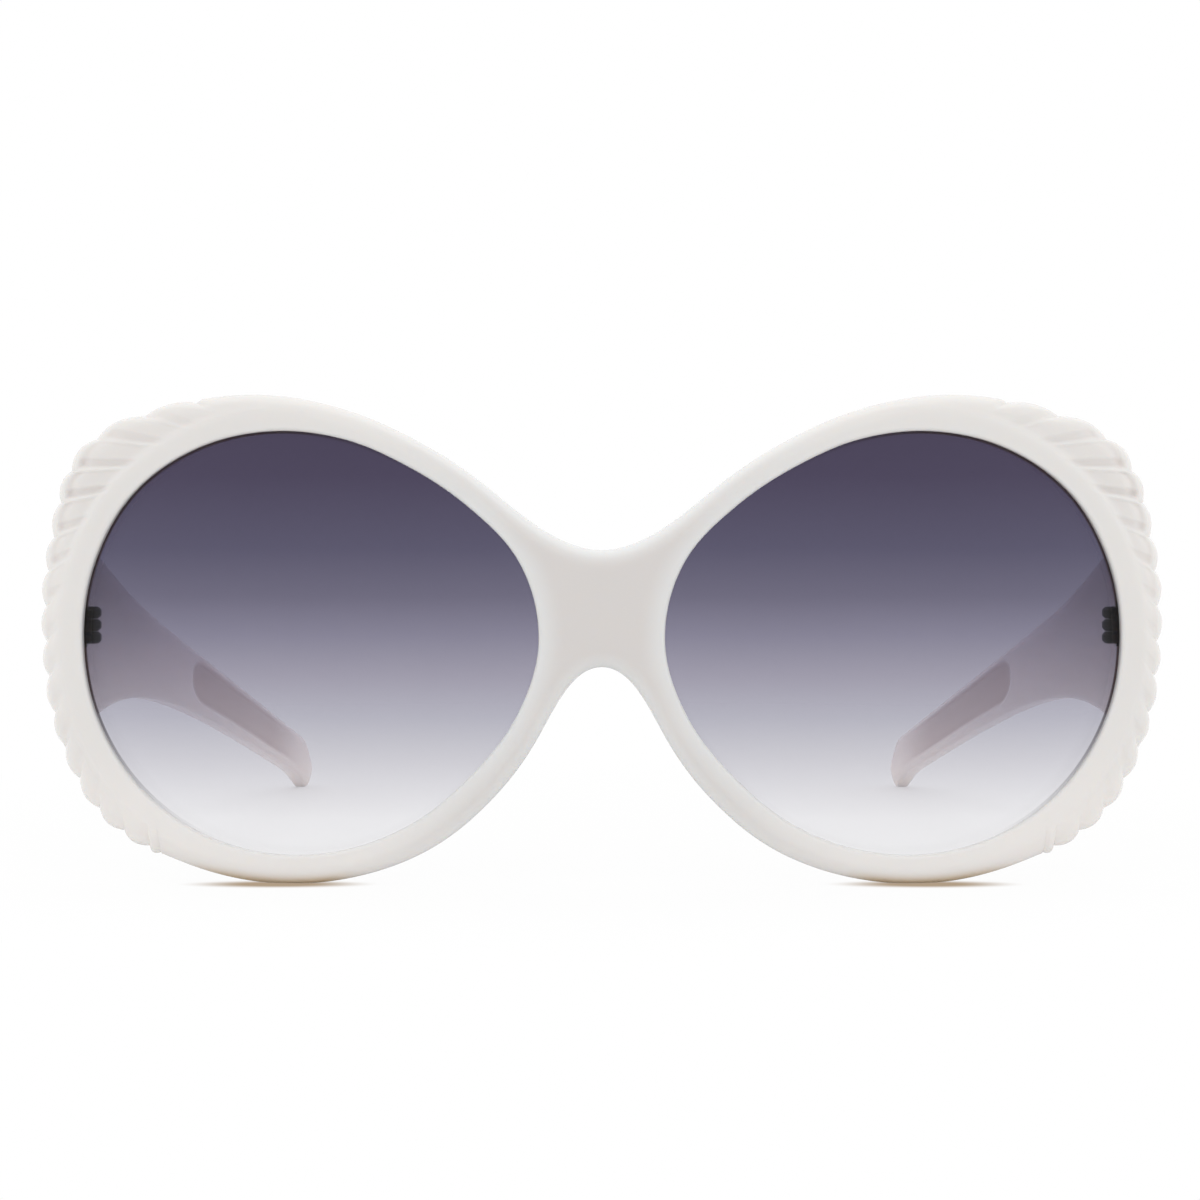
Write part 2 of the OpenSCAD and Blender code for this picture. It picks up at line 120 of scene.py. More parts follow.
def share_at(shares, angle):
    u = angle / 360 * len(shares)
    i = math.floor(u)
    f = u - i
    p, q, r, s = (shares[(i + k) % len(shares)] for k in (-1, 0, 1, 2))
    bend, twist = (2 * p - 5 * q + 4 * r - s) / 2, (3 * q - 3 * r + s - p) / 2
    return q + (r - p) / 2 * f + bend * f ** 2 + twist * f ** 3


def bezier(p, q, r, s, f):
    return p * (1 - f) ** 3 + q * 3 * f * (1 - f) ** 2 + r * 3 * f * f * (1 - f) + s * f ** 3


# %% [markdown]
# The outline of the front.
# Angles go round a lens from the nose (0) over the top (90) to the temple (180). The opening is an oval
# drawn in and out by shares, the rim adds its width, and the scallops add a row of bulges between cusps.

# %% Outline of the front
def out_from(a):
    return Vector((-math.cos(math.radians(a)), math.sin(math.radians(a))))


def opening_radius(a):
    d = out_from(a)
    return share_at(opening_shares, a) / math.hypot(d.x * 2 / lens_w, d.y * 2 / lens_h)


def opening(a):
    return opening_radius(a) * out_from(a)


def opening_normal(a):
    t = (opening(a + 1) - opening(a - 1)).normalized()
    return Vector((-t.y, t.x))


def across_scallop(a):
    """The share of the way across a scallop at this angle, or None on the plain rim."""
    for start, end in zip(cusps, cusps[1:]):
        if start <= a < end:
            return (a - start) / (end - start)
    return None


def plain_width(a):
    return rim_w * share_at(rim_shares, a)


def rim_width(a):
    f = across_scallop(a)
    return plain_width(a) + (0 if f is None else scallop_deep * (bulge(f) - 0.5))


def rim_edge(a):
    return (opening_radius(a) + rim_width(a)) * out_from(a)


def lean(a):
    turn = plain_width(a) * math.tan(math.radians(pleat_lean)) / opening_radius(a)
    return math.degrees(turn) * window(a, lean_start, cusps[0] - lean_start, lean_end, lean_end - cusps[-1])


foot_from, foot_to = 240, 300
lens_x = lens_gap / 2 + opening_radius(0)
lens_z = max(-rim_edge(foot_from + k / 2).y for k in range(2 * (foot_to - foot_from) + 1)) - foot_cut
print("middle of a lens, mm:", round(lens_x, 3), round(lens_z, 3))

# %% [markdown]
# The bridge's two edges.
# Each edge of the bridge is one curve that leaves the middle level and joins the rim without a corner, so
# the bridge reads as a saddle and not as a bar stuck between two rings.

# %% Bridge edges
top_middle, arch_middle = Vector((-lens_x, bridge_rise)), Vector((-lens_x, -arch_drop))
top_end, arch_end = rim_edge(top_join), rim_edge(arch_join)
top_way = (rim_edge(top_join + 1) - top_end).normalized()
arch_way = (rim_edge(arch_join - 1) - arch_end).normalized()


def top_point(f):
    return bezier(top_middle, top_middle + Vector((top_ease, 0)), top_end - top_way * top_ease, top_end, f)


def arch_point(f):
    return bezier(arch_middle, arch_middle + Vector((arch_ease, 0)),
                  arch_end - arch_way * arch_ease * arch_pull, arch_end, f)


bridge_steps, rim_step, rim_run = 24, 2, 20
top_edge = [top_point(i / bridge_steps) for i in range(bridge_steps + 1)]
top_edge += [rim_edge(a) for a in range(top_join + rim_step, top_join + rim_run + 1, rim_step)]
arch_edge = [arch_point(i / bridge_steps) for i in range(bridge_steps + 1)]
arch_edge += [rim_edge(a) for a in range(arch_join - rim_step, arch_join - rim_run - 1, -rim_step)]
print("height of the bridge at its middle, mm:", bridge_rise + arch_drop)


def to_line(p, line):
    """How far a point is from a line of short straight pieces."""
    best = math.inf
    for a, b in zip(line, line[1:]):
        v = b - a
        f = max(0.0, min(1.0, (p - a).dot(v) / v.length_squared))
        best = min(best, (p - a - v * f).length)
    return best


# %% [markdown]
# Spokes.
# A spoke is one line from the opening to the outside of the rim. Going round the lens, a spoke ends at the
# middle of the bridge, on a bridge edge or on the rim. Many spokes a scallop keep the pleats crisp.

# %% Spokes round a lens
steps_mid, steps_edge, steps_plain, steps_low, steps_lobe = 30, 22, 56, 60, 26


def spokes_round():
    rows = []
    for i in range(steps_mid):
        e = (1 - math.cos(math.pi * i / steps_mid)) / 2
        a = mix(arch_turn, top_turn, e)
        rows.append((a, a, mix(arch_middle, top_middle, e), True))
    for i in range(steps_edge):
        a = mix(top_turn, top_join, i / steps_edge)
        rows.append((a, a, top_point(i / steps_edge), True))
    angles = [mix(top_join, cusps[0], i / steps_plain) for i in range(steps_plain)]
    for start, end in zip(cusps, cusps[1:]):
        angles += [mix(start, end, i / steps_lobe) for i in range(steps_lobe)]
    angles += [mix(cusps[-1], 360 + arch_join, i / steps_low) for i in range(steps_low)]
    rows += [(a, a - lean(a), rim_edge(a), False) for a in angles]
    for i in range(steps_edge):
        f = 1 - i / steps_edge
        a = mix(arch_turn, arch_join, f)
        rows.append((a, a, arch_point(f), True))
    return rows


spokes = spokes_round()
print("spokes:", len(spokes))

# %% [markdown]
# The section of the rim.
# From the lens outwards the face has a small round, a flat, and a big rounded edge; the back has smaller
# rounds. The steps are close together where the surface turns and wide where it is flat.

# %% Section of the rim
def wrap_y(x):
    """How far back the wrap of the front takes a point at this distance from the middle."""
    return math.tan(math.radians(wrap_deg)) * (math.hypot(x, wrap_round) - wrap_round)


lip_steps, edge_most = 4, 0.7


def arc_steps(radius, count):
    """Distances from an edge, closest together at the edge, where a quarter round is steepest."""
    return [radius * (1 - math.cos(math.pi / 2 * k / count)) for k in range(count + 1)]


def places(width, edge_radius, edge_count, middle_count):
    """Shares along a spoke, from the lens (0) to the outside (1)."""
    near = [d / width for d in arc_steps(lip_round, lip_steps)]
    far = [1 - d / width for d in reversed(arc_steps(min(edge_radius, width * edge_most), edge_count))]
    middle = [mix(near[-1], far[0], (k + 1) / (middle_count + 1)) for k in range(middle_count)]
    return near + middle + far


def stand(gap, radius):
    """How far a face stands off the middle of the rim's thickness, this far in from the edge."""
    return edge_band / 2 + (rim_t / 2 - edge_band / 2) * round_edge(gap / radius)


def lip(gap):
    """How far the small round beside the opening draws the face in."""
    return lip_round * (1 - round_edge(gap / lip_round))


# The walls of the groove stand this far off the lens.
hug = 0.01
lens_sag = (lens_w / 2 + lens_h / 2) ** 2 / 8 / lens_r
lens_turn = math.atan(math.tan(math.radians(wrap_deg)) * lens_x / math.hypot(lens_x, wrap_round))
lens_mid_y = wrap_y(lens_x) + rim_t / 2 + lens_back - lens_sag
ball_r = lens_r - lens_t / 2
ball_x, ball_y = -ball_r * math.sin(lens_turn), lens_mid_y + ball_r * math.cos(lens_turn)


def ball_face(p, r):
    """How far back a ball of this radius about the lens's own centre lies at a point of the outline."""
    return ball_y - math.sqrt(r * r - (p.x - ball_x) ** 2 - p.y * p.y)


# %% [markdown]
# The pleats.
# Between two cusps the mould leaves a shallow scoop that deepens into a narrow trough just above the next
# ridge. A thin raised lip follows the scalloped edge, with a crescent cut behind it, and the scoops fade out
# at the smooth band beside the lens. The depth is also kept on the mesh, so that the material can paint a
# little shade into the troughs.

# %% Relief of the pleats
scoop_share, trough_at, trough_half, trough_fall = 0.45, 0.82, 0.115, 0.08
scoop_inner, trough_inner, trough_inner_share = 2.2, 1.2, 0.9
edge_lip, lip_fade, lip_least, pleat_gain = 0.55, 0.55, 0.1, 0.75
first_share, side_share, last_share = 0.4, 0.6, 0.45
first_from, first_fade, side_from, side_fade, last_from, last_fade = 124, 28, 165, 20, 198, 16
crown_deep, crown_wide = 0.28, 3.4
shelf_deep, shelf_least, shelf_lap, shelf_fade = 0.32, 0.9, 0.3, 1.1
crescent_at, crescent_half, crescent_share = 1.25, 0.4, 0.5
# Each of these is where a form starts, how long it eases in, where it ends, and how long it eases out.
shelf_span, crescent_span = (78, 26, 250, 40), (134, 10, 212, 20)
scoop_across, crescent_across = (0, 0.16, 1, 0.1), (0, 0.2, 0.96, 0.12)


def crown(from_lens):
    """The face falls back a little towards the lens, so that it catches light from the side."""
    return crown_deep * (1 - smooth(from_lens / crown_wide))


def shelf(a, from_lens):
    """Outside the smooth band the corner of the front lies a little further back."""
    share = window(a, *shelf_span) * smooth(plain_width(a) / rim_w - shelf_least)
    return shelf_deep * share * smooth((from_lens - smooth_band + shelf_lap) / shelf_fade)


def pleat_strength(a):
    """The first scoops and those down the side are shallower than the ones at the corner."""
    first = mix(first_share, 1, smooth((a - first_from) / first_fade))
    side = mix(1, side_share, smooth((a - side_from) / side_fade))
    return first * side * mix(1, last_share, smooth((a - last_from) / last_fade))


def relief(a, from_lens, from_edge):
    """How deep the mould cuts into the face: a scoop, its trough and the crescent behind the lip."""
    f = across_scallop(a)
    if f is None:
        return 0.0
    deep = pleat_deep * min(1.0, plain_width(a) / rim_w - 1) * pleat_strength(a)
    inner_end = smooth((from_lens - smooth_band) / smooth_band * scoop_inner)
    scoop = scoop_share * window(f, *scoop_across) * inner_end
    trough = (1 - scoop_share) * math.exp(-((f - trough_at) / trough_half) ** 4)
    trough *= smooth((1 - f) / trough_fall)
    trough *= smooth((from_lens - smooth_band * trough_inner_share) / trough_inner)
    crescent = crescent_share * math.exp(-((from_edge - crescent_at) / crescent_half) ** 2)
    crescent *= window(a, *crescent_span) * window(f, *crescent_across) * inner_end
    at_lip = smooth((from_edge - edge_lip) / lip_fade + lip_least)
    return deep * pleat_gain * (scoop + trough + crescent) * at_lip


# %% [markdown]
# Nose pads.
# On a moulded frame the pads are swellings on the back of the rims beside the nose. Here they are a rounded
# fin that rises from the back along the lower inner side of each opening.

# %% Nose pads
pad_start, pad_end, pad_ease = -14, -57, 6
pad_reach, pad_half, pad_share, pad_swell, pad_flat = 4, 1.75, 0.62, 0.6, 2.6
print("a nose pad stands out by, mm:", pad_reach)


def pad_rise(a, p):
    """How far the pad stands out behind the back at this point."""
    a = a if a < 180 else a - 360
    if not pad_end - pad_ease < a < pad_start + pad_ease:
        return 0.0
    u = (pad_start - a) / (pad_start - pad_end)
    along = max(0.0, math.sin(math.pi * max(0.0, min(1.0, u)))) ** pad_swell
    middle = mix(opening(a), rim_edge(a), pad_share)
    side = (p - middle).dot(out_from(a)) / pad_half
    return pad_reach * along * max(0.0, 1 - abs(side) ** pad_flat) ** 0.5 if abs(side) < 1 else 0.0


# %% [markdown]
# From a grid to a shape.
# One bmesh grid is enough for each shell: its columns go round the lens or along the temple, its rows go
# round the section, and each point is moved to its place. Where the last row or column lands on the
# first, merging by distance closes the shell.

# %% A shell from a grid
# In metres: points closer than the first are merged, and edges shorter than the second are dropped.
weld_within, sliver_under = 1e-7, 1e-8


def shell_from_grid(columns, rows, place, layers=()):
    shell = bmesh.new()
    bmesh.ops.create_grid(shell, x_segments=columns, y_segments=rows, size=0.5)
    keep = {name: shell.verts.layers.float.new(name) for name in layers}
    lows = min(v.co.x for v in shell.verts), min(v.co.y for v in shell.verts)
    spans = max(v.co.x for v in shell.verts) - lows[0], max(v.co.y for v in shell.verts) - lows[1]
    for v in shell.verts:
        i = round((v.co.x - lows[0]) / spans[0] * columns)
        j = round((v.co.y - lows[1]) / spans[1] * rows)
        point, values = place(i, j)
        v.co = Vector(point) * MM
        for name, value in values.items():
            v[keep[name]] = value
    bmesh.ops.remove_doubles(shell, verts=shell.verts, dist=weld_within)
    bmesh.ops.dissolve_degenerate(shell, edges=shell.edges, dist=sliver_under)
    return shell


def finish_piece(name, shell, body, stands_for, sharp_deg=40):
    """Turn the faces outwards, smooth them, keep the sharp edges, and make the object."""
    bmesh.ops.recalc_face_normals(shell, faces=shell.faces)
    for face in shell.faces:
        face.smooth = True
    for edge in shell.edges:
        if len(edge.link_faces) == 2 and edge.calc_face_angle(0) > math.radians(sharp_deg):
            edge.smooth = False
    mesh = bpy.data.meshes.new(name)
    shell.to_mesh(mesh)
    shell.free()
    piece = bpy.data.objects.new(name, mesh)
    bpy.context.scene.collection.objects.link(piece)
    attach(piece, body)
    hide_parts(*stands_for)
    print(name, "triangles:", sum(len(p.vertices) - 2 for p in mesh.polygons))
    return piece


# %% [markdown]
# The front.
# The grid's columns are the spokes and its rows go along the face, down the outer side, back along the rear
# and through the lens groove. The faces on the middle plane are left out, and the other half is a mirror.

# %% Build the front
face_count, face_middle, back_count, back_middle = 15, 16, 5, 10
rear_draft, nose_share, rear_open, draft_span = 0.95, 0.5, 0.3, (80, 40, 320, 40)
lit_band_outside, lit_band_lens = 2.4, 3.6


def draft(a):
    """How far the back of the opening opens outwards: most where the camera would see its wall."""
    return rear_draft * mix(nose_share, 1, window(a, *draft_span))


def section(spoke):
    a, lens_a, end, at_bridge = spoke
    start = opening(lens_a)
    width = (end - start).length if at_bridge else rim_width(a)
    groove = start + opening_normal(lens_a) * groove_deep
    points = []

    def gap_at(p, f):
        return min(to_line(p, top_edge), to_line(p, arch_edge)) if at_bridge else width * (1 - f)

    for f in places(width, face_round, face_count, face_middle):
        p = mix(start, end, f)
        gap = gap_at(p, f)
        cut = relief(a, width * f, gap)
        y = wrap_y(lens_x + p.x) + rim_t / 2 - stand(gap, face_round) + lip(width * f) + cut
        y += crown(width * f) + (0 if at_bridge else shelf(a, width * f))
        # The share of a pale band of painted highlight along the bridge's edges and beside the lens.
        band = max(1 - smooth(gap / lit_band_outside), 1 - smooth(width * f / lit_band_lens))
        points.append((p, y, cut / pleat_deep, band))
    back_start = start + opening_normal(lens_a) * draft(a)
    for f in reversed(places(width, back_round, back_count, back_middle)):
        p = mix(back_start, end, f)
        y = wrap_y(lens_x + p.x) + rim_t / 2 + stand(gap_at(p, f), back_round) - lip(width * f)
        points.append((p, y + pad_rise(a, p), 0.0, 1.0))
    rear_lip = mix(start, groove, rear_open)
    for p, r in ((rear_lip, lens_r - lens_t - hug), (groove, lens_r - lens_t - hug),
                 (groove, lens_r + hug), (start, lens_r + hug)):
        points.append((p, ball_face(p, r), 0.0, 1.0))
    return points


sections = [section(s) for s in spokes]
under_high, under_rows, under_back, under_start, under_fade, under_full = 3.2, 13, 7, -8, 6, 1.3
on_middle = 1e-6


def under_shade_share(p, j):
    """The share of painted tan shade: 1 along the lowest edge of a rim, where it stands on the table, and 0
    above it.
    """
    rows = len(places(rim_w, face_round, face_count, face_middle))
    on_face = under_full - under_full * (rows - 1 - j) / under_rows
    side = smooth(on_face if j < rows else 1 - (j - rows) / under_back)
    return side * (1 - smooth((lens_z + p.y) / under_high)) * smooth((p.x - under_start) / under_fade)


# The marks give the trough depth, used for painted shade, the share of painted tan shade at the foot, and the
# pale band of painted highlight.
def front_place(i, j):
    p, y, cut, band = sections[i % len(sections)][j % len(sections[0])]
    under = under_shade_share(p, j % len(sections[0]))
    return (lens_x + p.x, front_y + y, max(0.0, lens_z + p.y)), {"relief": cut, "under": under, "band": band}


front = shell_from_grid(len(sections), len(sections[0]), front_place, ["relief", "under", "band"])
walls = [f for f in front.faces if all(abs(v.co.x) < on_middle for v in f.verts)]
bmesh.ops.delete(front, geom=walls, context="FACES")
half = front.verts[:] + front.edges[:] + front.faces[:]
bmesh.ops.mirror(front, geom=half, axis="X", merge_dist=on_middle)
front_piece = finish_piece("moulded_front", front, "front", ["frame_front"])

# %% [markdown]
# The lenses.
# A lens is a slice of a hollow ball, cut to the opening's outline plus the part that sits in the groove.
# Its rings are close together at the rim, where a thin dark line of painted shade stands for the shadowed
# groove round the lens edge.

# %% Build the lenses
lens_angles, lens_bevel, groove_shade_wide, groove_shade_span = 200, 0.12, 1.15, (50, 50, 250, 60)
lens_rings = [0, lens_bevel, 0.8, 0.9, 1.0, 1.1, 1.2, 1.3, 1.45, 1.7, 2.4]
inner_rings = 16
ring_count = len(lens_rings) + inner_rings


def groove_shade_strength(a):
    """The painted shade of the groove is strong at the temple side, thin over the top and gone beside the
    nose.
    """
    return window(a % 360, *groove_shade_span)


def lens_point(i, j):
    a = 360 * i / lens_angles
    front_side = j < ring_count
    k = ring_count - 1 - j if front_side else j - ring_count
    edge = opening(a) + opening_normal(a) * (groove_deep - lens_clear)
    if k < len(lens_rings):
        share = 1 - lens_rings[k] / edge.length
    else:
        last = lens_rings[-1] / edge.length
        share = (1 - last) * (1 - (k - len(lens_rings) + 1) / inner_rings)
    p = edge * share
    bevel = lens_bevel if k == 0 else 0.0
    r = lens_r - bevel if front_side else lens_r - lens_t + bevel
    # The front rings nearest the rim carry the painted shade of the groove.
    in_groove_shade = front_side and k < len(lens_rings) and lens_rings[k] < groove_shade_wide
    line = groove_shade_strength(a) if in_groove_shade else 0.0
    return (lens_x + p.x, front_y + ball_face(p, r), lens_z + p.y), {"line": line}


left_lens = shell_from_grid(lens_angles, 2 * ring_count - 1, lens_point, ["line"])
right_lens = left_lens.copy()
bmesh.ops.scale(right_lens, vec=(-1, 1, 1), verts=right_lens.verts)
lens_pieces = [
    finish_piece("left_tinted_lens", left_lens, "front", ["left_lens"]),
    finish_piece("right_tinted_lens", right_lens, "front", ["right_lens"]),
]

# %% [markdown]
# The hinge's place.
# The hinge stands behind the rim, close outside the lens groove, so its place follows from the opening,
# the groove and the leaf's thickness. The temple needs it for the notch round the barrel.

# %% Place of the hinge
knuckle_d, leaf_t, leaf_h, hinge_rise = 3.85, 0.9, 6, 1.7
groove_wall, barrel_gap, temple_gap = 0.3, 0.3, 0.3
side_a = 180 - math.degrees(math.asin(hinge_rise / (lens_w / 2)))
leaf_x = lens_x + opening(side_a).x + groove_deep + groove_wall
hinge_x = leaf_x + leaf_t - knuckle_d / 2
hinge_y = wrap_y(hinge_x) + rim_t + barrel_gap + knuckle_d / 2
hinge_z = lens_z + hinge_rise
relief_r = math.hypot(knuckle_d / 2, knuckle_d / 2 + barrel_gap) + barrel_gap / 2
print("hinge, mm:", round(hinge_x, 3), round(front_y + hinge_y, 3), round(hinge_z, 3))

# %% [markdown]
# The temples.
# A temple starts as a tall fluted flare that carries the pleats on round the side, and sweeps into a
# straight arm that narrows to a rounded tip. Its inner side has a shallow panel with rounded corners. A
# grid again gives the shell: columns along the temple, rows round its section.

# %% Sizes of a temple
temple_l, temple_t, tip_t, arm_h, arm_above = 133, 4.2, 3.2, 9.8, 5.2
tip_h, tip_lift, tip_turn, tip_low, tip_high = 7.9, 0.9, 15, 2, 4.6
flare_up, flare_down, flare_fade, temple_in_deg = 3.6, 17.7, 21.7, 8
flute_deep, panel_deep, flutes = 0.4, 0.35, 6
tip_z = tip_h * 0.4
panel_share, panel_end_share, panel_low_share, panel_high_share = 0.425, 0.9, 0.17, 0.85
panel_long_share, panel_past_share, panel_fade_share = 1.05, 0.07, 0.2
panel_corner, panel_soft, corner_stretch, edge_share = 2.8, 0.9, 2.6, 0.02
temple_y = wrap_y(lens_x + rim_edge(180).x) + rim_t + temple_gap
arm_z = hinge_z + arm_above
low_run, high_run = temple_l - tip_low, temple_l - tip_high
turn_run = low_run - tip_turn
print("front end of a temple, mm:", round(front_y + temple_y, 3))


def flare(y):
    """1 at the front end, and less and less along the temple."""
    return math.exp(-(y / flare_fade) ** 2)


def drop(y):
    """Like the flare, but with a corner at the front end, for the lower edge."""
    return math.exp(-y / flare_fade)


def arm_low(y):
    """The height of the lower edge, this far along the temple."""
    if y < low_run:
        line = mix(arm_z - arm_h / 2, tip_lift, y / temple_l) - flare_down * drop(y)
        return max(0.0, line * (1 - max(0.0, (y - turn_run) / tip_turn) ** 4))
    return tip_z * (1 - math.sqrt(max(0.0, 1 - ((y - low_run) / tip_low) ** 2)))


def arm_high(y):
    """The height of the upper edge, this far along the temple."""
    line = mix(arm_z + arm_h / 2, tip_h, y / temple_l) + flare_up * flare(y)
    if y < high_run:
        return line
    return tip_z + (line - tip_z) * math.sqrt(max(0.0, 1 - ((y - high_run) / tip_high) ** 2))


# %% [markdown]
# The section of a temple.
# The outer side is crowned and carries six flutes that fade into the arm. The inner side is flat with the
# panel let into it. Both sides round off towards the upper and lower edges.

# %% Section of a temple
outer_rows, inner_rows = 60, 44
side_least, side_flat, crown_share, tip_share = 0.4, 3.2, 0.3, 0.55
flute_run, flute_shade, least_h = 1.5, 0.6, 0.3


def side_round(f):
    """How far a side stands out, from the lower edge (0) to the upper edge (1)."""
    return mix(side_least, 1, max(0.0, 1 - abs(2 * f - 1) ** side_flat) ** 0.5)


def panel_depth(y, f, low, high):
    """The recess in the inner side: a long field with rounded corners that fades out towards the tip."""
    half_l = temple_l * (panel_long_share - panel_share) / 2 / corner_stretch
    half_h = (high - low) * (panel_high_share - panel_low_share) / 2
    along = (y - panel_share * temple_l) / corner_stretch - half_l
    across = (f - (panel_high_share + panel_low_share) / 2) * (high - low)
    corner = min(panel_corner, half_h)
    dx, dz = abs(along) - (half_l - corner), abs(across) - (half_h - corner)
    edge = math.hypot(max(dx, 0), max(dz, 0)) + min(max(dx, dz), 0) - corner
    at_tip = smooth((panel_end_share + panel_past_share - y / temple_l) / panel_fade_share)
    return panel_deep * smooth(0.5 - edge / panel_soft) * at_tip


def edge_steps(count):
    """Even steps from 0 to 1, with a few extra ones close to both ends."""
    ends, first = [0, 0.004, 0.014, 0.03], 0.05
    inner = count - 2 * len(ends)
    even = [mix(first, 1 - first, k / (inner - 1)) for k in range(inner)]
    return ends + even + [1 - e for e in reversed(ends)]


outer_steps, inner_steps = edge_steps(outer_rows), list(reversed(edge_steps(inner_rows)))
flare_share, arm_share, flare_steps, arm_steps, tip_steps = 0.3, 0.93, 90, 130, 30
stations = [temple_l * flare_share * (k / flare_steps) for k in range(flare_steps)]
stations += [temple_l * mix(flare_share, arm_share, k / arm_steps) for k in range(arm_steps)]
stations += [temple_l * mix(arm_share, 1, math.sin(math.pi / 2 * k / tip_steps))
             for k in range(tip_steps + 1)]


def temple_section(y):
    low, high = arm_low(y), arm_high(y)
    high = max(high, low + least_h)
    x = leaf_x - y * math.tan(math.radians(temple_in_deg))
    t = mix(temple_t, tip_t, smooth(y / temple_l)) * mix(tip_share, 1, round_edge((temple_l - y) / tip_low))
    fluted = flute_deep * (1 - smooth(y / (flute_run * flare_fade)))
    crowned = t * crown_share * flare(y)
    points = []
    for f in outer_steps:
        cut = fluted * (1 - bulge(f * flutes % 1))
        # The rosier painted shade of the inner side also reaches round the very edges of the outer side.
        inner_shade = smooth(1 - f / edge_share) + smooth(1 - (1 - f) / edge_share)
        out = x + t / 2 + t / 2 * side_round(f) - cut - crowned * (2 * f - 1) ** 2
        # The flutes' depth is kept as a mark for painted shade.
        points.append((out, f, flute_shade * cut / flute_deep, inner_shade))
    # The whole inner side takes the rosier painted shade, and the panel's depth is kept for more of it.
    for f in inner_steps:
        cut = panel_depth(y, f, low, high)
        points.append((x + t / 2 - t / 2 * side_round(f) + cut, f, cut / panel_deep, 1.0))
    return [(px, front_y + temple_y + y, mix(low, high, f), cut, inner_shade) for px, f, cut, inner_shade in points]


temple_sections = [temple_section(y) for y in stations]
print("sections along a temple:", len(temple_sections))


# The marks carry painted shade: the depth of flutes and panel, and the inner side.
def temple_place(i, j):
    x, y, z, cut, inner_shade = temple_sections[i][j % len(temple_sections[0])]
    return (x, y, z), {"relief": cut, "inner": inner_shade}


# %% [markdown]
# The notch for the hinge.
# A round cutter, a little bigger than the barrel, clears the inner front corner of the temple, so that the
# knuckles can turn. A Boolean modifier does this on the closed shell, and its result is kept as the mesh.

# %% Build the temples
end_round, cutter_sides = 0.25, 64
temple = shell_from_grid(len(stations) - 1, len(temple_sections[0]), temple_place, ["relief", "inner"])
bmesh.ops.holes_fill(temple, edges=[e for e in temple.edges if e.is_boundary], sides=0)
bmesh.ops.recalc_face_normals(temple, faces=temple.faces)
end_y = (front_y + temple_y) * MM
end_rim = [e for e in temple.edges if all(abs(v.co.y - end_y) < weld_within for v in e.verts)]
bmesh.ops.bevel(temple, geom=end_rim, offset=end_round * MM, segments=2, profile=0.5, affect="EDGES",
                material=-1)
temple_mesh = bpy.data.meshes.new("temple_blank")
temple.to_mesh(temple_mesh)
temple.free()
blank = bpy.data.objects.new("temple_blank", temple_mesh)
bpy.context.scene.collection.objects.link(blank)

cutter_shape = bmesh.new()
bmesh.ops.create_cone(cutter_shape, cap_ends=True, segments=cutter_sides, radius1=relief_r * MM,
                      radius2=relief_r * MM, depth=leaf_h * MM)
bmesh.ops.translate(cutter_shape, vec=Vector((hinge_x, front_y + hinge_y, hinge_z)) * MM,
                    verts=cutter_shape.verts)
cutter_mesh = bpy.data.meshes.new("notch_cutter")
cutter_shape.to_mesh(cutter_mesh)
cutter_shape.free()
cutter = bpy.data.objects.new("notch_cutter", cutter_mesh)
bpy.context.scene.collection.objects.link(cutter)

notch = blank.modifiers.new("notch", "BOOLEAN")
notch.operation, notch.object, notch.solver = "DIFFERENCE", cutter, "MANIFOLD"
bpy.context.view_layer.update()
cut_mesh = bpy.data.meshes.new_from_object(blank.evaluated_get(bpy.context.evaluated_depsgraph_get()))
left_temple = bmesh.new()
left_temple.from_mesh(cut_mesh)
right_temple = left_temple.copy()
bmesh.ops.scale(right_temple, vec=(-1, 1, 1), verts=right_temple.verts)
for helper in (blank, cutter):
    bpy.data.objects.remove(helper)
temple_pieces = [
    finish_piece("left_fluted_temple", left_temple, "left_arm", ["left_temple"]),
    finish_piece("right_fluted_temple", right_temple, "right_arm", ["right_temple"]),
]

# %% [markdown]
# Shader maths as Python.
# Wrapping a socket in a small class lets a pattern be written as an expression: each operator adds the Math
# node that it stands for. Every other node comes from one method that takes its type, its settings and the
# values or links of its sockets, and the nodes that are needed often have a short method of their own.

# %% Shader helpers
class Wire:
    """What comes out of one node and can go into the next."""

    def __init__(self, finish, socket):
        self.finish, self.socket = finish, socket

    def _math(self, operation, first, second=0.0):
        return self.finish.node("ShaderNodeMath", {"operation": operation}, {0: first, 1: second})

    def __add__(self, other):
        return self._math("ADD", self, other)

    def __sub__(self, other):
        return self._math("SUBTRACT", self, other)

    def __rsub__(self, other):
        return self._math("SUBTRACT", other, self)

    def __mul__(self, other):
        return self._math("MULTIPLY", self, other)

    def __truediv__(self, other):
        return self._math("DIVIDE", self, other)

    def __abs__(self):
        return self._math("ABSOLUTE", self)

    def or_more(self, other):
        """The larger of two numbers."""
        return self._math("MAXIMUM", self, other)


